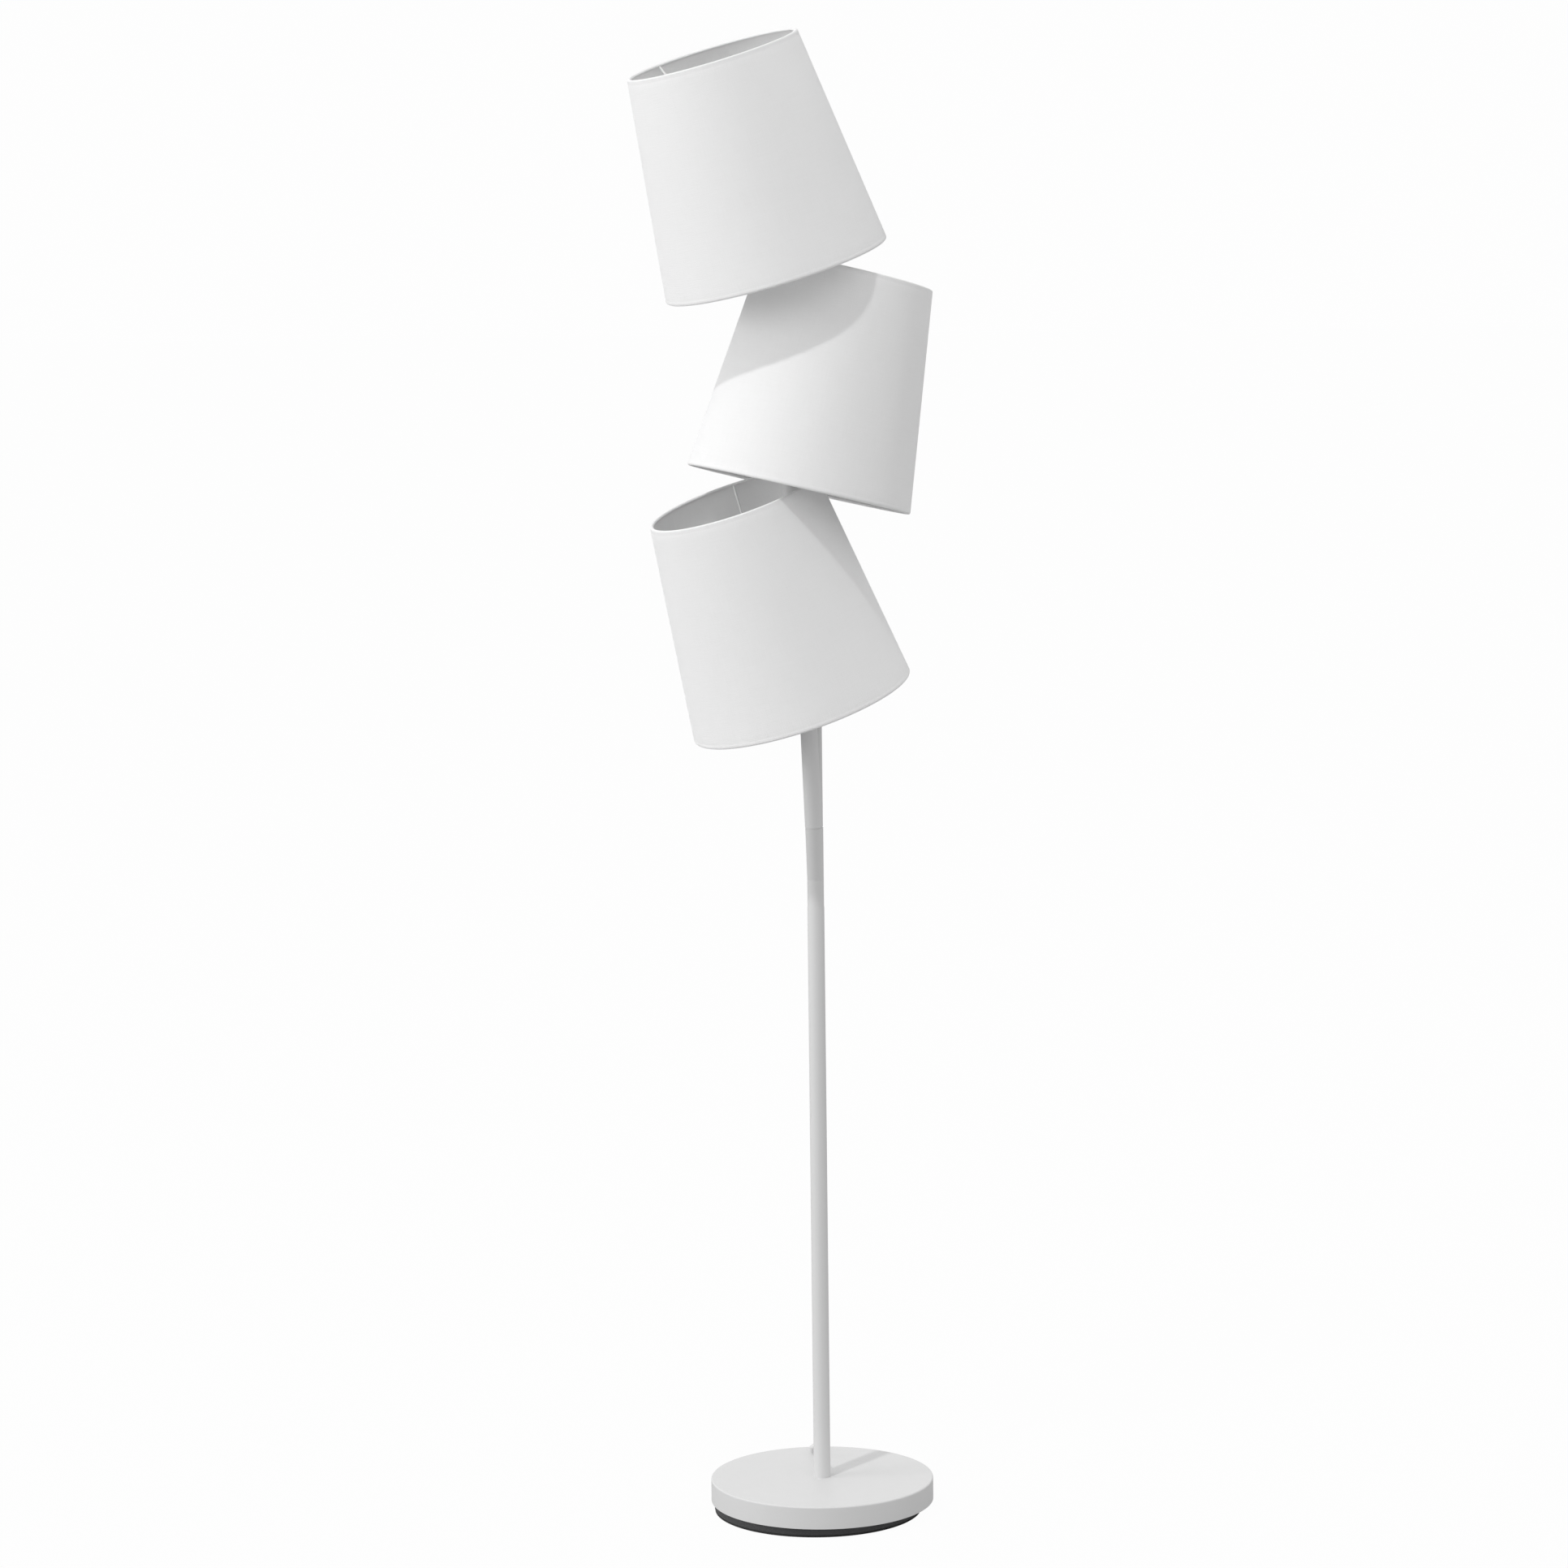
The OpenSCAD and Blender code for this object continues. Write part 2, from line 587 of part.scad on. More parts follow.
// Plug in the rear stem's end with the threaded nipple that carries the lower lampholder
module rear_reducer() {
    color(steel) on_shade(LOWER) difference() {
        union() {
            translate([0, 0, rear_end_s - reducer_spigot])
                cylinder(d = rear_bore_d - 2 * slip, h = reducer_spigot);
            translate([0, 0, rear_end_s]) cylinder(d = rear_d, h = reducer_collar);
            translate([0, 0, rear_end_s]) cylinder(d = pipe_d, h = pipe_end_s - rear_end_s);
        }
        translate([0, lead_offset, rear_end_s - reducer_spigot - 1])
            cylinder(d = lead_d + 0.6, h = pipe_end_s - rear_end_s + reducer_spigot + 2);
    }
}

// Ball on the front stem's end with a socket for each arm pipe
module stem_junction() {
    color(white) in_tilt_plane() difference() {
        union() {
            translate(ball_centre) sphere(d = ball_d);
            along(front_end, front_back) cylinder(d = tube_d, h = ball_neck);
            along(front_end - ball_spigot * unit(front_back), front_back)
                cylinder(d = bore_d - 2 * slip, h = ball_spigot + 1);
        }
        along(middle_arm_start, middle_corner - ball_centre)
            cylinder(d = pipe_d + 2 * slip, h = ball_d / 2);
        along(top_arm_start, top_knee - ball_centre) cylinder(d = pipe_d + 2 * slip, h = ball_d / 2);
        along(front_end - (ball_spigot + 1) * unit(front_back), front_back)
            cylinder(d = 8, h = ball_spigot + 1 + ball_neck + 2);
        along(ball_centre, middle_corner - ball_centre) cylinder(d = 6, h = arm_start + 4);
        along(ball_centre, top_knee - ball_centre) cylinder(d = 6, h = arm_start + 4);
    }
}

module middle_arm() {
    color(white) in_tilt_plane() bent_tube(middle_path, [middle_bend_r], pipe_d, pipe_wall);
}

module top_arm() {
    color(white) in_tilt_plane()
        bent_tube(top_path, [knee_bend_r, neck_bend_r, top_bend_r], pipe_d, pipe_wall);
}

// Leads from the splice through the fork: one up the rear stem, one up the front stem
module front_lead() {
    branch_start = [0, -lead_offset, branch_foot];
    front_top = front_foot - groove_h * unit(front_lean);
    color(ivory) in_tilt_plane() bent_bar([[0, -lead_offset, splice_foot + splice_len],
        branch_start, front_top + lead_step * unit(front_lean), front_bow,
        front_end - (ball_spigot + 1) * unit(front_back)], [15, 20, front_bend_r], lead_d);
}

module rear_lead() {
    color(ivory) in_tilt_plane() translate([0, lead_offset, 0])
        bent_bar([[0, 0, splice_foot + splice_len], rear_knee, rear_corner,
            on_axis(LOWER, pipe_end_s)], [rear_bend_r, rear_bend_r], lead_d);
}

// ---- Lights: each module is drawn for one of LOWER, MIDDLE and TOP ----

module holder_cap(shade) {
    color(white) on_shade(shade) difference() {
        translate([0, 0, holder_s]) rotate_extrude() polygon([[0, 0], [pipe_d / 2 + 3, 0],
            [pipe_d / 2 + 4, 1.5], [holder_d / 2 - 1, cap_len - 7], [holder_d / 2, cap_len - 5],
            [holder_d / 2, cap_len], [0, cap_len]]);
        translate([0, 0, holder_s - 1]) cylinder(d = pipe_d + 2 * slip, h = seat_len + 1);
        translate([0, 0, holder_s]) cylinder(d = 7, h = cap_len + 1);
    }
}

module holder_shell(shade) {
    flange = 3;
    r = holder_d / 2;
    color(white) on_shade(shade) difference() {
        rotate_extrude() polygon([[0, shell_foot], [r, shell_foot], [r, shoulder_s - flange - 1.5],
            [shoulder_d / 2, shoulder_s - flange], [shoulder_d / 2, shoulder_s], [neck_r, shoulder_s],
            [neck_r, neck_top], [0, neck_top]]);
        translate([0, 0, socket_floor]) cylinder(r = socket_r, h = 60);
    }
}

module contact_sleeves() {
    for (shade = [LOWER, MIDDLE, TOP]) color(brass) on_shade(shade) {
        difference() {
            translate([0, 0, socket_floor]) cylinder(r = sleeve_r, h = neck_top - 4 - socket_floor);
            translate([0, 0, socket_floor + 1]) cylinder(r = sleeve_r - sleeve_wall, h = 60);
        }
        translate([0, 0, socket_floor + 0.5]) cylinder(d = 4, h = bulb_foot - socket_floor - 0.5);
    }
}

// Ring nut with grip notches
module ring_nut(shade) {
    r = nut_d / 2;
    color(white) on_shade(shade) translate([0, 0, nut_foot]) difference() {
        cylinder(r = r, h = nut_h);
        translate([0, 0, -1]) cylinder(r = neck_r + fit_gap, h = nut_h + 2);
        for (i = [0 : 11]) rotate([0, 0, 30 * i]) translate([r + 0.6, 0, 1.5]) cylinder(d = 3, h = nut_h);
    }
}

module bulb(shade) {
    r = bulb_d / 2;
    neck = 8.6;
    low = asin((neck + 2) / r);
    color([0.97, 0.97, 0.95]) on_shade(shade) rotate_extrude() polygon(concat([[0, bulb_neck],
        [bulb_cap_d / 2, bulb_neck], [neck, bulb_neck + 3], [neck, bulb_neck + 5]],
        arc_points([0, bulb_centre], r, low - 90, 90, 24)));
}

module bulb_caps() {
    for (shade = [LOWER, MIDDLE, TOP]) color(steel) on_shade(shade) {
        translate([0, 0, bulb_foot + 4]) cylinder(d = bulb_cap_d, h = bulb_neck - bulb_foot - 4);
        translate([0, 0, bulb_foot]) cylinder(d1 = 5, d2 = bulb_cap_d - 1.5, h = 4);
    }
}

// Wire frame at the top of a shade: rim ring, three arms and the fitter ring on the neck
module spider(shade) {
    foot = [fitter_d / 2 - 1.2, 0, shoulder_s + fitter_t - 0.3];
    rim = [up_hem[0], 0, up_hem[1]];
    color(steel) on_shade(shade) {
        rotate_extrude($fn = 180) translate(up_hem) circle(d = wire_d, $fn = 32);
        difference() {
            union() {
                translate([0, 0, shoulder_s]) cylinder(d = fitter_d, h = fitter_t);
                for (i = [0 : 2]) rotate([0, 0, shade[3] + 120 * i])
                    along(foot, rim - foot) cylinder(d = arm_d, h = norm(rim - foot), $fn = 32);
            }
            translate([0, 0, shoulder_s - 1]) cylinder(r = neck_r + fit_gap, h = fitter_t + 6);
        }
    }
}

module bottom_ring(shade) {
    color(steel) on_shade(shade) rotate_extrude($fn = 180) translate(low_hem)
        circle(d = wire_d, $fn = 32);
}

// Fabric on a stiff backing, rolled round the wire rings at both rims
module shade_cover(shade) {
    color(white) on_shade(shade) rotate_extrude($fn = 180) polygon(concat(
        arc_points(low_hem, hem_r, low_hem_end, shade_slope, 12),
        arc_points(up_hem, hem_r, shade_slope, up_hem_end, 8),
        arc_points(up_hem, hem_in_r, up_hem_end, shade_slope, 6),
        arc_points(low_hem, hem_in_r, shade_slope, low_hem_end, 9)));
}

// ---- Switch and plug ----

module in_switch() {
    translate(switch_pos) rotate([0, 0, switch_az]) children();
}

module switch_outline(inset) {
    r = 6 - inset;
    for (x = [-1, 1]) for (y = [-1, 1])
        translate([x * (switch_len / 2 - 6), y * (switch_w / 2 - 6)]) circle(r = r);
    square([switch_len - 12, switch_w - 2 * inset], center = true);
    square([switch_len - 2 * inset, switch_w - 12], center = true);
}

module cord_hole() {
    translate([0, 0, cord_level]) rotate([0, 90, 0])
        cylinder(d = cord_d + 0.4, h = switch_len + 2, center = true);
}

module switch_lower_shell() {
    color(white) in_switch() difference() {
        linear_extrude(cord_level) switch_outline(0);
        translate([0, 0, switch_wall]) linear_extrude(switch_h) switch_outline(switch_wall);
    }
}

module switch_upper_shell() {
    color(white) in_switch() difference() {
        translate([0, 0, cord_level]) linear_extrude(switch_h - cord_level) switch_outline(0);
        translate([0, 0, cord_level - 1]) linear_extrude(switch_h - switch_wall - cord_level + 1)
            switch_outline(switch_wall);
        cylinder(d = button_d + 2 * button_gap, h = switch_h + 1);
    }
}

module switch_insert() {
    color(ivory) in_switch() translate([0, 0, switch_wall + 1.5])
        cube([26, 13, 3], center = true);
}

// Push button with the flange that keeps it in the housing
module switch_button() {
    top = switch_h + button_travel + 0.5;
    under = switch_h - switch_wall - 0.1;
    color(ivory) in_switch() {
        translate([0, 0, under - 1.5]) cylinder(d = button_d, h = top - under + 1.5);
        translate([0, 0, under - 1.5]) cylinder(d = button_d + 2.4, h = 1.5);
    }
}

module in_plug() {
    translate([plug_pos.x, plug_pos.y, 0]) rotate([0, 0, switch_az]) children();
}

module plug_body() {
    w = plug_w / 2;
    color(white) in_plug() {
        linear_extrude(plug_h) polygon([[9, -5], [12, -6.5], [22, -w], [plug_len - 1, -w],
            [plug_len, -w + 1], [plug_len, w - 1], [plug_len - 1, w], [22, w], [12, 6.5], [9, 5]]);
        translate([0, 0, plug_h / 2]) rotate([0, 90, 0]) cylinder(d1 = cord_d + 1.6, d2 = 9, h = 10);
    }
}

module plug_pins() {
    color(steel) in_plug() for (side = [-1, 1])
        translate([plug_len, side * pin_pitch / 2, plug_h / 2]) rotate([0, 90, 0])
            cylinder(d = pin_d, h = pin_len);
}

// ---- Cord ----

module cord_run_pole() {
    color(white) cord(pole_points, 8);
}

module cord_run_switch() {
    color(white) cord(switch_points, 8);
}

module cord_coil() {
    color(white) cord(concat([coil_in], coil_points, [coil_out]), 6);
}

module cord_tail() {
    color(white) cord(tail_points, 8);
}

base_pad();
base_weight();
base_washer();
base_bolt();
base_cover();
foot_insert();
lower_tube();
cord_bushing();
supply_lead();
lead_splice();
pole_coupler();
fork();
front_stem();
rear_stem();
rear_reducer();
stem_junction();
middle_arm();
top_arm();
front_lead();
rear_lead();
holder_cap(LOWER);  // lower_holder_cap
holder_cap(MIDDLE);  // middle_holder_cap
holder_cap(TOP);  // top_holder_cap
holder_shell(LOWER);  // lower_holder_shell
holder_shell(MIDDLE);  // middle_holder_shell
holder_shell(TOP);  // top_holder_shell
contact_sleeves();
ring_nut(LOWER);  // lower_ring_nut
ring_nut(MIDDLE);  // middle_ring_nut
ring_nut(TOP);  // top_ring_nut
bulb(LOWER);  // lower_bulb
bulb(MIDDLE);  // middle_bulb
bulb(TOP);  // top_bulb
bulb_caps();
spider(LOWER);  // lower_spider
spider(MIDDLE);  // middle_spider
spider(TOP);  // top_spider
bottom_ring(LOWER);  // lower_bottom_ring
bottom_ring(MIDDLE);  // middle_bottom_ring
bottom_ring(TOP);  // top_bottom_ring
shade_cover(LOWER);  // lower_shade_cover
shade_cover(MIDDLE);  // middle_shade_cover
shade_cover(TOP);  // top_shade_cover
cord_run_pole();
switch_lower_shell();
switch_insert();
switch_upper_shell();
switch_button();
cord_run_switch();
cord_coil();
cord_tail();
plug_body();
plug_pins();
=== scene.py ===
"""Floor lamp with three tilted fabric shades: looks, light and camera.

Blender works in metres in the part's frame, +Z up, with the origin on the floor under the pole.
Shapes that are made here are written in millimetres, and MM turns them into metres.
"""

import json
from math import atan, cos, degrees, pi, radians, sin, sqrt, tan

import bpy
from mathutils import Matrix, Vector


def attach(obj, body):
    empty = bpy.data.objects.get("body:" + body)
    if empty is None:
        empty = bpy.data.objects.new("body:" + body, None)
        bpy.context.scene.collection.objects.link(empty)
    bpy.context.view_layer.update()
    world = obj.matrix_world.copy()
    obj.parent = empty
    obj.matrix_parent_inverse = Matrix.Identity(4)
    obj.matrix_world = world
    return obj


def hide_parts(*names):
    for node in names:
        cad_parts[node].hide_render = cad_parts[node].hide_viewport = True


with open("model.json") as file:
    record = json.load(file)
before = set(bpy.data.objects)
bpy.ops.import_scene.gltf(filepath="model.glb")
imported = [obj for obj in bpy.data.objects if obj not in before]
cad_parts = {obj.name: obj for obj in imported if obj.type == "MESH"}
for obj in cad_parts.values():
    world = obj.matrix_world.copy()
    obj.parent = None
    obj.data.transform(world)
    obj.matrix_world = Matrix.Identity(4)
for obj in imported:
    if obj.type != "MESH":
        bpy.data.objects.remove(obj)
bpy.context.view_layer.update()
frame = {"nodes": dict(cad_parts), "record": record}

nodes = frame["nodes"]
scene = bpy.context.scene
MM = 0.001


# ---------------------------------------------------------------- camera

# Fitted to the photograph's edges of pole, shades and base by least squares
CAMERA_AT = (0.05629, -5.08029, 1.48137)
YAW, PITCH, ROLL = radians(-0.99890), radians(7.7342), radians(-0.69168)
SENSOR_MM, LENS_MM = 36, 110.955
SEEN_TO_M = 60

forward = Vector((sin(YAW) * cos(PITCH), cos(YAW) * cos(PITCH), -sin(PITCH)))
level = Vector((cos(YAW), -sin(YAW), 0))
upright = level.cross(forward)
right = level * cos(ROLL) + upright * sin(ROLL)
up = upright * cos(ROLL) - level * sin(ROLL)
camera = bpy.data.objects.new("camera", bpy.data.cameras.new("camera"))
camera.data.sensor_width = SENSOR_MM
camera.data.lens = LENS_MM
camera.data.clip_end = SEEN_TO_M
camera.matrix_world = Matrix.Translation(CAMERA_AT) @ Matrix(
    (
        (right.x, up.x, -forward.x, 0),
        (right.y, up.y, -forward.y, 0),
        (right.z, up.z, -forward.z, 0),
        (0, 0, 0, 1),
    )
)
scene.collection.objects.link(camera)
scene.camera = camera


# ---------------------------------------------------------------- small helpers


def link(obj):
    scene.collection.objects.link(obj)
    return obj


def mesh_piece(name, points, faces, smooth_angle=40):
    """Smooth mesh with sharp edges where its faces meet at more than the angle, in degrees."""
    mesh = bpy.data.meshes.new(name)
    mesh.from_pydata([tuple(p) for p in points], [], faces)
    mesh.validate()
    mesh.update()
    mesh.shade_smooth()
    mesh.set_sharp_from_angle(angle=radians(smooth_angle))
    return link(bpy.data.objects.new(name, mesh))


def curve_piece(name, points, diameter):
    """Round bar on one smooth curve through the points, with flat ends."""
    data = bpy.data.curves.new(name, "CURVE")
    data.dimensions = "3D"
    data.resolution_u = 6
    data.bevel_depth = diameter / 2
    data.bevel_resolution = 5
    data.use_fill_caps = True
    spline = data.splines.new("BEZIER")
    spline.bezier_points.add(len(points) - 1)
    for bezier, p in zip(spline.bezier_points, points):
        bezier.co = p
        bezier.handle_left_type = bezier.handle_right_type = "AUTO"
    return link(bpy.data.objects.new(name, data))


class Nodes:
    """A material's node tree, with short calls for the nodes that are used here."""

    def __init__(self, name):
        self.material = bpy.data.materials.new(name)
        self.material.use_nodes = True
        self.tree = self.material.node_tree
        self.shader = self.tree.nodes["Principled BSDF"]

    def add(self, kind, **values):
        """New node; each value sets the node's own property of that name, or else its socket."""
        node = self.tree.nodes.new("ShaderNode" + kind)
        for key, value in values.items():
            if hasattr(node, key):
                setattr(node, key, value)
            else:
                node.inputs[key.replace("_", " ")].default_value = value
        return node

    def join(self, output, socket):
        """Link an output to a socket."""
        self.tree.links.new(output, socket)

    def noise(self, vector, scale, detail=3, rough=0.5):
        """Noise from 0 to 1 over the vector."""
        node = self.add("TexNoise", Scale=scale, Detail=detail, Roughness=rough)
        self.join(vector, node.inputs["Vector"])
        return node.outputs["Fac"]

    def math(self, operation, a, b):
        """Math node on two numbers or outputs."""
        node = self.add("Math", operation=operation)
        for socket, value in zip(node.inputs, (a, b)):
            if isinstance(value, (int, float)):
                socket.default_value = value
            else:
                self.join(value, socket)
        return node.outputs[0]

    def remap(self, value, low, high, to_low, to_high):
        """The value with its range low to high carried over to to_low to to_high."""
        node = self.add("MapRange")
        self.join(value, node.inputs["Value"])
        for socket, v in zip(list(node.inputs)[1:5], (low, high, to_low, to_high)):
            socket.default_value = v
        return node.outputs[0]

    def shade(self, colour, factor_output, spread):
        """The colour, made lighter and darker by the spread as the factor goes from 0 to 1."""
        node = self.add("Mix", data_type="RGBA")
        self.join(factor_output, node.inputs["Factor"])
        node.inputs["A"].default_value = (*[max(0, c * (1 - spread)) for c in colour], 1)
        node.inputs["B"].default_value = (*[min(1, c * (1 + spread)) for c in colour], 1)
        self.join(node.outputs["Result"], self.shader.inputs["Base Color"])
        return node

    def bump(self, height, distance, strength=1.0, normal=None):
        """Bump of the distance in metres, on top of an earlier bump's normal where one is given."""
        node = self.add("Bump", Distance=distance, Strength=strength)
        self.join(height, node.inputs["Height"])
        if normal is not None:
            self.join(normal, node.inputs["Normal"])
        self.join(node.outputs["Normal"], self.shader.inputs["Normal"])
        return node.outputs["Normal"]

    def set(self, **values):
        """Constants on the shader's sockets, with _ for each space in a name."""
        for key, value in values.items():
            self.shader.inputs[key.replace("_", " ")].default_value = value


def coated(name, colour, roughness=0.4, grain=900, depth=0.00006, spread=0.02):
    """Powder coat, plastic or rough iron: a skin grain over faint clouds.

    The grain is in bumps to the metre, the depth in metres, and the spread is the clouds' share of the colour.
    """
    n = Nodes(name)
    place = n.add("TexCoord").outputs["Object"]
    cloud = n.noise(place, 14, 4)
    n.shade(colour, cloud, spread)
    wear = n.remap(n.noise(place, 60, 5), 0.3, 0.7, roughness - 0.05, roughness + 0.05)
    n.join(wear, n.shader.inputs["Roughness"])
    n.bump(n.noise(place, grain, 2), depth)
    return n.material


def brushed(name, colour, roughness, stretch):
    """Plain or plated metal with fine drawn lines, that are short along the axis with the large stretch."""
    n = Nodes(name)
    place = n.add("TexCoord").outputs["Object"]
    scaled = n.add("Mapping", Scale=stretch)
    n.join(place, scaled.inputs["Vector"])
    lines = n.noise(scaled.outputs["Vector"], 1, 4, 0.6)
    n.shade(colour, lines, 0.06)
    n.join(n.remap(lines, 0.3, 0.7, roughness - 0.06, roughness + 0.08), n.shader.inputs["Roughness"])
    n.bump(lines, 0.00002)
    n.set(Metallic=1.0)
    return n.material


def felted(name, colour):
    """Matt felt with short, uneven fibres."""
    n = Nodes(name)
    place = n.add("TexCoord").outputs["Object"]
    n.shade(colour, n.noise(place, 500, 5, 0.7), 0.35)
    n.bump(n.noise(place, 1100, 4, 0.7), 0.0006)
    n.set(Roughness=1.0, Specular_IOR_Level=0.1)
    return n.material


def woven(name, colour, thread=0.00042):
    """Fine plain weave with slubs. The piece's own UV coordinates are metres across the cloth."""
    n = Nodes(name)
    uv = n.add("UVMap", uv_map="cloth").outputs["UV"]
    axes = n.add("SeparateXYZ")
    n.join(uv, axes.inputs["Vector"])
    across, along = axes.outputs["X"], axes.outputs["Y"]
    waves = []
    for coordinate, offset in ((across, 0), (along, pi / 2)):
        angle = n.math("MULTIPLY_ADD", coordinate, pi / thread)
        angle.node.inputs[2].default_value = offset
        waves.append(n.math("SINE", angle, 0))
    weave = n.math("MULTIPLY", waves[0], waves[1])
    threads = []
    for scale in ((320, 9, 1), (9, 320, 1)):
        stretched = n.add("Mapping", Scale=scale)
        n.join(uv, stretched.inputs["Vector"])
        threads.append(n.noise(stretched.outputs["Vector"], 4, 3, 0.6))
    slubs = n.math("ADD", threads[0], threads[1])
    both = n.math("MULTIPLY_ADD", weave, 0.12)
    n.join(n.remap(slubs, 0.7, 1.3, 0.2, 0.8), both.node.inputs[2])
    n.shade(colour, both, 0.03)
    fine = n.bump(weave, 0.00012, 0.6)
    n.bump(slubs, 0.0003, 0.5, fine)
    n.set(Roughness=0.85, Specular_IOR_Level=0.25, Sheen_Weight=0.15, Sheen_Roughness=0.5)
    # Some light passes through the cloth
    n.set(Subsurface_Weight=0.35, Subsurface_Scale=0.003, Subsurface_Radius=(1, 1, 1))
    return n.material


def opal(name):
    """Opal glass, a little translucent."""
    n = Nodes(name)
    place = n.add("TexCoord").outputs["Object"]
    n.shade((0.9, 0.9, 0.88), n.noise(place, 30, 2), 0.02)
    n.bump(n.noise(place, 25, 1), 0.00003)
    n.set(Roughness=0.12, Coat_Weight=0.3, Coat_Roughness=0.05, Subsurface_Weight=0.2, Subsurface_Scale=0.004)
    return n.material


# One material for each slot that the record names
MATERIALS = {
    "white_metal": coated("white_powder_coat", (0.675, 0.675, 0.675), 0.5, 1400, 0.00005),
    "cast_iron": coated("black_cast_iron", (0.062, 0.062, 0.064), 0.6, 260, 0.0006, 0.2),
    "felt": felted("black_felt", (0.05, 0.05, 0.05)),
    "zinc_steel": brushed("zinc_plate", (0.6, 0.61, 0.63), 0.35, (300, 300, 2500)),
    "brass": brushed("brass", (0.72, 0.55, 0.27), 0.3, (300, 300, 3000)),
    "bulb_cap_metal": brushed("bulb_cap_metal", (0.68, 0.68, 0.69), 0.3, (300, 300, 3000)),
    "pin_metal": brushed("nickel_plate", (0.7, 0.69, 0.67), 0.2, (2000, 2000, 300)),
    "white_plastic": coated("white_moulding", (0.80, 0.80, 0.798), 0.38, 700, 0.00004, 0.015),
    "ivory_plastic": coated("ivory_moulding", (0.72, 0.71, 0.66), 0.45, 700, 0.00005, 0.02),
    "lead_sleeve": coated("silicone_sleeve", (0.7, 0.69, 0.65), 0.6, 500, 0.0001),
    "white_cord": coated("white_cord_sheath", (0.76, 0.76, 0.758), 0.5, 500, 0.00012, 0.03),
    "white_wire": coated("white_coated_wire", (0.84, 0.84, 0.84), 0.4, 900, 0.00008),
    "shade_fabric": woven("white_shade_cloth", (0.94, 0.94, 0.94)),
    "opal_glass": opal("opal_glass"),
}
for entry in frame["record"]["subparts"]:
    obj = nodes[entry["node"]]
    for slot in obj.material_slots:
        slot.material = MATERIALS[entry["material_slot"]]


# ---------------------------------------------------------------- the cord, from the pole to the plug

CORD_D = 4.4
LEAD = 1.1 * CORD_D  # straight length of cord at a fitting's mouth
LIES_AT = CORD_D / 2  # height of the cord's centre line where it lies on the floor

EXIT_H = 62
exit_az = radians(98)
exit_dir = Vector((cos(exit_az), sin(exit_az), 0))

SWITCH_AXIS_H, SWITCH_DIP_H = 7.5, 6.7  # the cord dips under the pressed button
SWITCH_HALF = 28
switch_az = radians(-15)
switch_dir = Vector((cos(switch_az), sin(switch_az), 0))
switch_pos = Vector((56.5, 134, 0))
switch_in = switch_pos - SWITCH_HALF * switch_dir + Vector((0, 0, SWITCH_AXIS_H))
switch_out = switch_pos + SWITCH_HALF * switch_dir + Vector((0, 0, SWITCH_AXIS_H))

PLUG_AXIS_H = 6.85
plug_pos = Vector((17.5, 178.8, PLUG_AXIS_H))

# The coil winds inwards on the floor for TURNS turns, steps up and winds outwards on top
coil_pos = Vector((-49.5, 144, 0))
TURNS, PITCH_MM, INNER_R, START_AZ = 4, 4.85, 17.9, 105
all_turns = 2 * TURNS - 0.2917
COIL_STEPS = 185


def coil_point(t):
    """Point of the coil's centre line after t turns."""
    r = INNER_R + PITCH_MM * abs(t - TURNS)
    a = radians(START_AZ + 360 * t)
    z = LIES_AT + PITCH_MM * min(1, max(0, 2 * (t - TURNS) + 0.5))
    return coil_pos + Vector((r * cos(a), r * sin(a), z))


coil = [coil_point(i * all_turns / COIL_STEPS) for i in range(COIL_STEPS + 1)]
coil_in_dir = Vector((cos(radians(START_AZ - 90)), sin(radians(START_AZ - 90)), 0))
coil_in = coil[0] + LEAD * coil_in_dir
coil_out_dir = Vector((0, 1, 0))
coil_out = coil[-1] + LEAD * coil_out_dir

# Over the base behind the pole and down to the switch
POLE_TO_SWITCH = (
    (-5, 35, 60.7), (-6.4, 44, 57.7), (-8.1, 54, 53.8), (-9.9, 64, 50.1), (-11.6, 75, 46.4),
    (-12.7, 86.5, 43.1), (-12.5, 97.5, 40.6), (-10.8, 108, 38.8), (-8, 117.2, 37.9), (-4.9, 125.5, 36.3),
    (-1.2, 132.9, 32.6), (3.2, 139, 26.6), (8.6, 143.3, 19), (15.5, 144.5, 11.4),
)
# Down to the floor and round the plug to the coil
SWITCH_TO_COIL = (
    (95.2, 125, 6.9), (101.9, 127.1, 5.9), (107.7, 131.9, 4.6), (111.4, 139.6, 3), (111.1, 149.8, 2.25),
    (106.2, 160.2, LIES_AT), (97.6, 170, LIES_AT), (86.2, 178.3, LIES_AT), (73, 185.2, LIES_AT),
    (58, 191.1, LIES_AT), (41, 195.6, LIES_AT), (23, 197.6, LIES_AT), (5, 196.8, LIES_AT),
)
COIL_TO_PLUG = ((-13.5, 158.3, 7), (-11.9, 165.2, 7), (-8, 171.8, 6.95), (-1.9, 176.9, 6.9), (5.2, 179.7, 6.85))

route = [
    8 * exit_dir + Vector((0, 0, EXIT_H)),
    27 * exit_dir + Vector((0, 0, EXIT_H)),
    *map(Vector, POLE_TO_SWITCH),
    switch_in - LEAD * switch_dir,
    switch_in,
    switch_pos + Vector((0, 0, SWITCH_DIP_H)),
    switch_out,
    switch_out + LEAD * switch_dir,
    *map(Vector, SWITCH_TO_COIL),
    coil_in + 31 * coil_in_dir,
    coil_in + 15 * coil_in_dir,
    coil_in,
    *coil,
    coil_out,
    coil_out + LEAD * coil_out_dir,
    *map(Vector, COIL_TO_PLUG),
    plug_pos - LEAD * switch_dir,
    plug_pos + 3 * switch_dir,
]
cord = curve_piece("mains_cord", [p * MM for p in route], CORD_D * MM)
cord.data.materials.append(MATERIALS["white_cord"])
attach(cord, "stand")
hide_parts("cord_run_pole", "cord_run_switch", "cord_coil", "cord_tail")


# ---------------------------------------------------------------- switch housing, button and plug


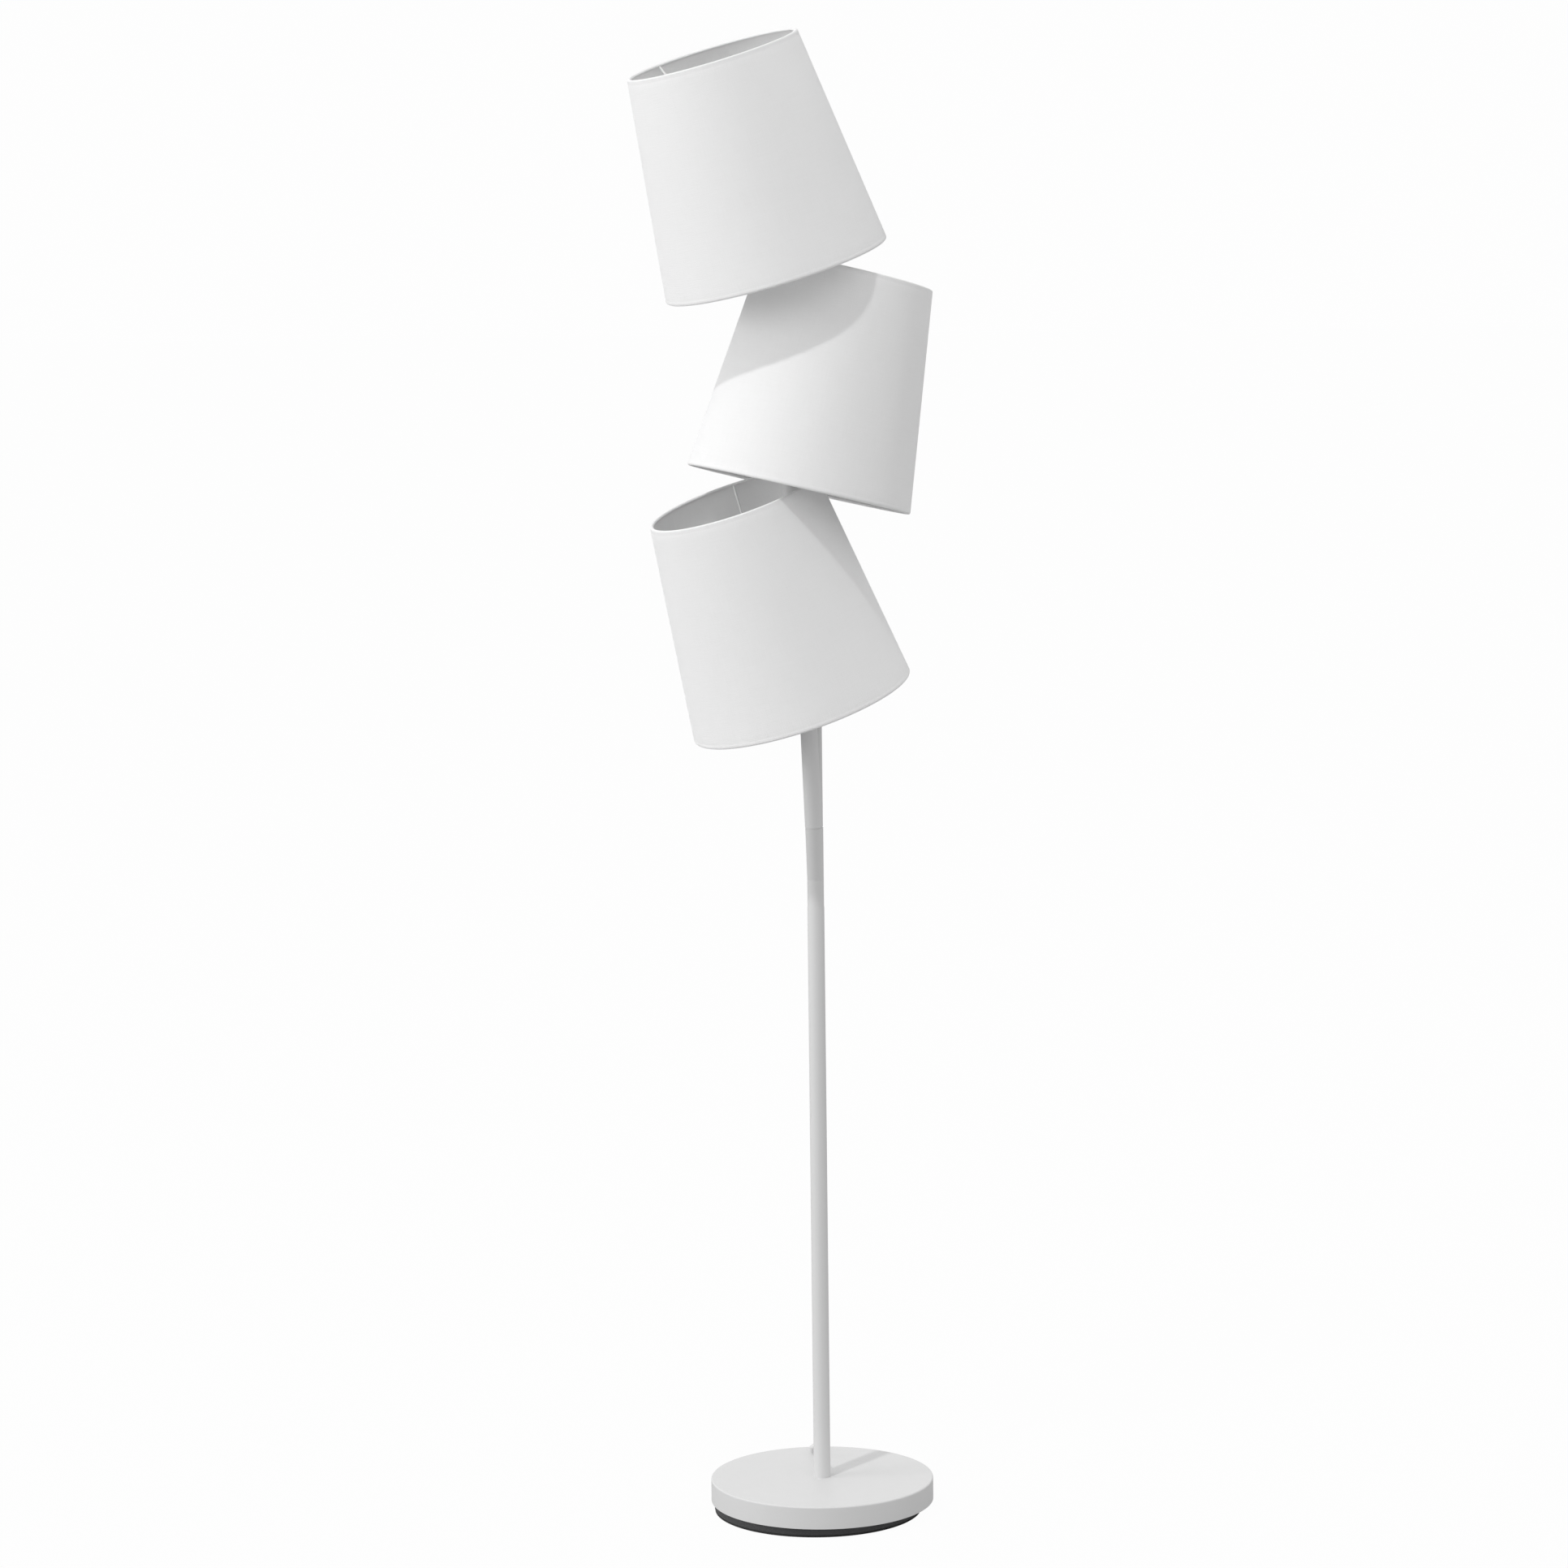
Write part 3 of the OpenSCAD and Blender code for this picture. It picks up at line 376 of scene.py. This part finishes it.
def placed(origin, azimuth):
    """Frame at the origin, in mm, with its X axis at the azimuth."""
    return Matrix.Translation(origin) @ Matrix.Rotation(azimuth, 4, "Z")


def loft(name, place, rings, material, body, replaced, smooth_angle=40, tube=False):
    """Closed piece through rings of as many points each, in mm in the place's frame.

    It has a face at either end, or as a tube its last ring joins its first.
    """
    count = len(rings[0])
    points = [place @ Vector(p) * MM for ring in rings for p in ring]
    faces = []
    for i in range(len(rings) - 1):
        for k in range(count):
            m = (k + 1) % count
            faces.append((i * count + k, i * count + m, (i + 1) * count + m, (i + 1) * count + k))
    last = (len(rings) - 1) * count
    if tube:
        faces += [(last + k, last + (k + 1) % count, (k + 1) % count, k) for k in range(count)]
    else:
        faces += [tuple(range(count))[::-1], tuple(last + k for k in range(count))]
    piece = mesh_piece(name, points, faces, smooth_angle)
    piece.data.materials.append(MATERIALS[material])
    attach(piece, body)
    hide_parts(*replaced)
    return piece


def rounded(half_x, half_y, r, inset, z, n=12):
    """Rounded rectangle at height z, drawn in by the inset."""
    ring = []
    for q, (sx, sy) in enumerate(((1, 1), (-1, 1), (-1, -1), (1, -1))):
        for i in range(n):
            a = radians(90 * q + 90 * i / (n - 1))
            ring.append((sx * (half_x - r) + (r - inset) * cos(a), sy * (half_y - r) + (r - inset) * sin(a), z))
    return ring


def circle(r, z, count=48):
    """Ring whose points face the corners of a rounded rectangle's ring in turn."""
    return [(r * cos(2 * pi * (k + 0.5) / count), r * sin(2 * pi * (k + 0.5) / count), z) for k in range(count)]


def superellipse(x, half_y, half_z, z, power, count=48):
    """Upright ring across X: an ellipse at power 2, squarer above."""
    ring = []
    for k in range(count):
        a = 2 * pi * k / count
        c, q = cos(a), sin(a)
        ring.append(
            (
                x,
                half_y * abs(c) ** (2 / power) * (1 if c >= 0 else -1),
                z + half_z * abs(q) ** (2 / power) * (1 if q >= 0 else -1),
            )
        )
    return ring


HOUSING_HALF_W, HOUSING_CORNER = 11, 6
WALL = 1.6
FOOT_R, SHOULDER_R, SHOULDER_H = 1.5, 2.6, 12.2
BUTTON_R, BUTTON_EDGE_R, BUTTON_EDGE_H = 6.5, 0.9, 16.9


def housing(*insets_and_heights):
    """Rings round the switch's housing, each drawn in by its inset."""
    return [rounded(SWITCH_HALF, HOUSING_HALF_W, HOUSING_CORNER, inset, z) for inset, z in insets_and_heights]


def circles(*radii_and_heights):
    """Round rings of the switch's button and of its hole."""
    return [circle(r, z) for r, z in radii_and_heights]


at_switch = placed(switch_pos, switch_az)
foot_arc = [(FOOT_R * (1 - sin(radians(a))), FOOT_R - FOOT_R * cos(radians(a))) for a in range(15, 91, 15)]
lower_rings = housing((2.6, WALL), (2.6, 0.25), (2.2, 0), *foot_arc)
lower_rings += housing((0, 7.1), (0.3, 7.4), (WALL, 7.4), (WALL, WALL))
switch_lower = loft(
    "switch_housing_lower", at_switch, lower_rings, "white_plastic", "stand", ["switch_lower_shell"]
)

shoulder_arc = [
    (SHOULDER_R * (1 - cos(radians(a))), SHOULDER_H + SHOULDER_R * sin(radians(a))) for a in range(12, 85, 12)
]
upper_rings = housing((0.35, 7.5), (0, 7.85), (0, SHOULDER_H), *shoulder_arc, (3.6, 15))
upper_rings += circles((8.6, 15), (8.2, 14.7), (7.4, 14.55), (7.1, 14.8), (6.65, 14.8), (6.6, 13.4))
upper_rings += housing((WALL, 13.4), (WALL, 7.5))
switch_upper = loft(
    "switch_housing_upper", at_switch, upper_rings, "white_plastic", "stand", ["switch_upper_shell"], tube=True
)

button_arc = [
    (BUTTON_R - BUTTON_EDGE_R * (1 - cos(radians(a))), BUTTON_EDGE_H + BUTTON_EDGE_R * sin(radians(a)))
    for a in range(20, 81, 20)
]
button_rings = circles((7.6, 11.85), (7.6, 13.2), (BUTTON_R, 13.25), (BUTTON_R, BUTTON_EDGE_H), *button_arc)
button_rings += circles((4.6, 17.86), (3.2, 17.72), (1.6, 17.62), (0.3, 17.6))
button = loft("switch_push_button", at_switch, button_rings, "ivory_plastic", "switch_button", ["switch_button"])

# The plug: a strain relief with ribs, and a flat body that widens towards the pins
RIBS, RIB_PITCH, RIB_START = 6, 1.6, 0.8
RIB_OUTLINE = ((0, 0.1), (0.2, 0), (0.8, 0), (1.0, 0.1), (1.05, 0.5), (1.5, 0.5))  # along, and down from the crest
PLUG_OUTLINE = (  # along, half width, half height, power
    (10.4, 4.4, 4.3, 2.1), (11.2, 5.2, 4.9, 2.3), (12.4, 6.6, 5.5, 2.6), (14.2, 8.8, 6.0, 3.0),
    (16.4, 11.6, 6.35, 3.4), (18.6, 14.2, 6.55, 3.8), (20.6, 16.1, 6.7, 4.2), (22.4, 17.2, 6.8, 4.6),
    (24.2, 17.6, 6.84, 5.0), (30, 17.6, 6.84, 5.2), (34.4, 17.55, 6.8, 5.2), (35.3, 17.3, 6.6, 5.0),
    (35.8, 16.9, 6.2, 4.8), (36, 16.3, 5.7, 4.6),
)
at_plug = placed(Vector((plug_pos.x, plug_pos.y, 0)), switch_az)
plug_rings = [superellipse(0, 2.6, 2.6, PLUG_AXIS_H, 2)]
for i in range(RIBS):
    crest = 3.0 + 0.22 * i
    for along, down in RIB_OUTLINE:
        plug_rings.append(
            superellipse(RIB_START + RIB_PITCH * i + along, crest - down, crest - down, PLUG_AXIS_H, 2)
        )
for along, half_y, half_z, power in PLUG_OUTLINE:
    plug_rings.append(superellipse(along, half_y, half_z, PLUG_AXIS_H, power))
plug = loft("plug_moulding", at_plug, plug_rings, "white_plastic", "stand", ["plug_body"], smooth_angle=30)


# ---------------------------------------------------------------- shade covers

TILT_AZ = radians(22)  # plane in which the shades tilt
RIM_LOW, RIM_UP, SHADE_H = 120.2, 91.7, 234.0  # radii of the cone's face at its rims, and its height
slope = atan((RIM_LOW - RIM_UP) / SHADE_H)
WIRE_GAP_R, CLOTH_T = 1.36, 0.66
HEM_R = WIRE_GAP_R + CLOTH_T
TURN_IN = 8.0  # how far a hem is turned up inside
TUCK, TUCK_TAPER = 0.32, 0.6
HEM_GROOVES, GROOVE_DEPTH = (4.9, 229.1), 0.05
SIDES = 192
MEAN_R, LEAST_STEP = 105, 0.0006  # for the spacing of the columns at the seam, the step in radians
OVERLAP, OVERLAP_T = 11.0, 0.28  # width and thickness of the glued overlap
EDGE_MARGIN, STEEP, SOFT = 0.2, 0.4, 3.0  # the overlap rises over STEEP at one edge and over SOFT at the other


def shade_matrix(x, z, tilt):
    """Frame of a shade: its lower rim's centre is x mm out in the plane of tilt and z mm up."""
    return (
        Matrix.Rotation(TILT_AZ, 4, "Z")
        @ Matrix.Translation((x, 0, z))
        @ Matrix.Rotation(radians(tilt), 4, "Y")
    )


def face_r(s):
    """Radius of the cloth's outer face at the height s."""
    return RIM_LOW - s * tan(slope)


def inner_r(s):
    return face_r(s) - CLOTH_T / cos(slope)


def tucked_r(s, from_rim):
    """Radius inside a hem, at the height s and the distance from its rim."""
    return inner_r(s) - TUCK - TUCK_TAPER * max(0, (TURN_IN - from_rim) / TURN_IN)


def arc(centre, r, start, end, n):
    """Points from the start to the end angle, in degrees, about the centre."""
    angles = [radians(start + i * (end - start) / n) for i in range(n + 1)]
    return [(centre[0] + r * cos(a), centre[1] + r * sin(a)) for a in angles]


def cover_profile():
    """Closed outline (radius, height) of the cloth with both hems, and the hollows round the wires."""
    low, high = [(face_r(s) - HEM_R / cos(slope), s) for s in (HEM_R, SHADE_H - HEM_R)]
    d = degrees(slope)
    heights = (3.2, 4.6, 4.9, 5.2, 12, 30, 60, 90, 117, 145, 175, 205, 222, 228.8, 229.1, 229.4, 230.8)
    outline = arc(low, HEM_R, -190, d, 16)
    outline += [(face_r(s) - (GROOVE_DEPTH if s in HEM_GROOVES else 0), s) for s in heights]
    outline += arc(high, HEM_R, d, 190, 14)
    outline += [(tucked_r(SHADE_H - s, s), SHADE_H - s) for s in (5, TURN_IN)]
    outline += [(inner_r(s), s) for s in (SHADE_H - TURN_IN - 0.3, 200, 160, 117, 80, 40, TURN_IN + 0.3)]
    outline += [(tucked_r(s, s), s) for s in (TURN_IN, 5)]
    hollows = [arc(centre, WIRE_GAP_R, 360, 0, 16)[:-1] for centre in (low, high)]
    return outline, hollows


def seam_angles(seam):
    """Angles of the cover's columns: even ones, and closer ones across the seam's overlap."""
    at_seam = [round((seam + d / MEAN_R) % (2 * pi), 5) for d in (-0.25, 0.25, 3.5, 7.5, 9.5, 11.2, 11.8)]
    angles = sorted({round(2 * pi * i / SIDES, 5) for i in range(SIDES)} | set(at_seam))
    return [a for i, a in enumerate(angles) if i == 0 or a - angles[i - 1] > LEAST_STEP or a in at_seam]


def seam_lift(angle, r, seam):
    """How far the overlap lifts the cloth from the cover's face, in mm."""
    distance = ((angle - seam + pi) % (2 * pi) - pi) * r
    if not -EDGE_MARGIN <= distance <= OVERLAP + EDGE_MARGIN:
        return 0.0
    rise = min(1, max(0, (distance + EDGE_MARGIN) / STEEP))
    fall = min(1, max(0, (OVERLAP + EDGE_MARGIN - distance) / SOFT))
    return OVERLAP_T * rise * fall


def shade_cover(name, x, z, tilt, seam_az, body):
    """The cloth cover, with the glued overlap of its seam at seam_az degrees about the shade's axis."""
    place = shade_matrix(x, z, tilt)
    outline, hollows = cover_profile()
    seam = radians(seam_az)
    angles = seam_angles(seam)
    count = len(angles)
    across = (RIM_LOW + RIM_UP) / 2 * MM  # metres of cloth to a radian, at the mean radius
    points, faces, uvs = [], [], []
    for loop in [outline] + hollows:
        base, n = len(points), len(loop)
        along = [0.0]
        for a, b in zip(loop, loop[1:] + loop[:1]):
            along.append(along[-1] + sqrt((a[0] - b[0]) ** 2 + (a[1] - b[1]) ** 2) * MM)
        for angle in angles:
            for r, s in loop:
                out = 0.0
                if loop is outline and 6 < s < SHADE_H - 6:
                    out = seam_lift(angle, r, seam) * (1 if r > face_r(s) - 0.4 else -1)
                points.append(place @ Vector(((r + out) * cos(angle), (r + out) * sin(angle), s)) * MM)
        for i in range(count):
            j = (i + 1) % count
            u0, u1 = angles[i] * across, (angles[j] if j else 2 * pi) * across
            for k in range(n):
                m = (k + 1) % n
                faces.append((base + i * n + k, base + j * n + k, base + j * n + m, base + i * n + m))
                uvs += [(u0, along[k]), (u1, along[k]), (u1, along[k + 1]), (u0, along[k + 1])]
    piece = mesh_piece(name, points, faces, smooth_angle=50)
    layer = piece.data.uv_layers.new(name="cloth")
    for corner, uv in zip(layer.data, uvs):
        corner.uv = uv
    piece.data.materials.append(MATERIALS["shade_fabric"])
    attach(piece, body)
    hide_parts(body + "_cover")


shade_cover("lower_cloth", -12.9, 875.0, -18.7, 118, "lower_shade")
shade_cover("middle_cloth", -14.1, 1103.9, 14.3, 70, "middle_shade")
shade_cover("top_cloth", -36.2, 1333.9, -17.0, 60, "top_shade")


# ---------------------------------------------------------------- floor, light and world

FLOOR_HALF_M = 30
FLOOR_GREY = 0.47  # what the floor throws back on the lamp
FLOOR_WHITE_SHARE = 0.975  # of what the camera sees; the rest is the floor with the lamp's shadow
BACKDROP_STRENGTH, SOFT_STRENGTH = 0.986, 0.79
LIT_H_M = 0.9  # height that the lamps are turned towards
WHITE = (1, 1, 1, 1)


def emptied(owner):
    """Node tree of a material or world, without nodes."""
    owner.use_nodes = True
    owner.node_tree.nodes.clear()
    return owner.node_tree


def shader_mix(tree, share, first, second, kind):
    """Output of the tree: the first shader, with the share of the second."""
    mix = tree.nodes.new("ShaderNodeMixShader")
    output = tree.nodes.new("ShaderNodeOutput" + kind)
    tree.links.new(share, mix.inputs[0])
    tree.links.new(first.outputs[0], mix.inputs[1])
    tree.links.new(second.outputs[0], mix.inputs[2])
    tree.links.new(mix.outputs[0], output.inputs[0])


def joined(tree, operation, a, b):
    """Math node on an output and on a number or another output."""
    node = tree.nodes.new("ShaderNodeMath")
    node.operation = operation
    tree.links.new(a, node.inputs[0])
    if isinstance(b, float):
        node.inputs[1].default_value = b
    else:
        tree.links.new(b, node.inputs[1])
    return node.outputs[0]


def background(tree, strength):
    node = tree.nodes.new("ShaderNodeBackground")
    node.inputs["Color"].default_value = WHITE
    node.inputs["Strength"].default_value = strength
    return node


def lamp(name, azimuth, elevation, distance, size, power):
    """Area lamp towards the middle of the object, that shines the way its shadows fall.

    The azimuth goes from +X towards +Y, and the elevation is above the floor.
    """
    data = bpy.data.lights.new(name, "AREA")
    data.shape = "DISK"
    data.size = size
    data.energy = power
    az, el = radians(azimuth), radians(elevation)
    heading = Vector((cos(az) * cos(el), sin(az) * cos(el), -sin(el)))
    obj = link(bpy.data.objects.new(name, data))
    obj.location = Vector((0, 0, LIT_H_M)) - distance * heading
    obj.rotation_euler = heading.to_track_quat("-Z", "Y").to_euler()


floor_mesh = bpy.data.meshes.new("floor")
corners = [(x * FLOOR_HALF_M, y * FLOOR_HALF_M, 0) for x, y in ((-1, -1), (1, -1), (1, 1), (-1, 1))]
floor_mesh.from_pydata(corners, [], [(0, 1, 2, 3)])
floor = link(bpy.data.objects.new("floor", floor_mesh))
paper = bpy.data.materials.new("pale_floor")
tree = emptied(paper)
grey = tree.nodes.new("ShaderNodeBsdfDiffuse")
grey.inputs["Color"].default_value = (FLOOR_GREY, FLOOR_GREY, FLOOR_GREY, 1)
white = tree.nodes.new("ShaderNodeEmission")
white.inputs["Color"].default_value = WHITE
ray = tree.nodes.new("ShaderNodeLightPath").outputs
shader_mix(tree, joined(tree, "MULTIPLY", ray["Is Camera Ray"], FLOOR_WHITE_SHARE), grey, white, "Material")
floor_mesh.materials.append(paper)

# The world is plain to the camera, in reflections and through glass, and a little dimmer as a light
world = bpy.data.worlds.new("studio")
scene.world = world
tree = emptied(world)
ray = tree.nodes.new("ShaderNodeLightPath").outputs
seen = joined(tree, "MAXIMUM", ray["Is Camera Ray"], ray["Is Glossy Ray"])
seen = joined(tree, "MAXIMUM", seen, ray["Is Transmission Ray"])
shader_mix(tree, seen, background(tree, SOFT_STRENGTH), background(tree, BACKDROP_STRENGTH), "World")

lamp("key", azimuth=55.2, elevation=55.3, distance=9.0, size=0.4, power=240)
lamp("left_fill", azimuth=12, elevation=12, distance=6.0, size=3.0, power=90)

scene.view_settings.view_transform = "Standard"
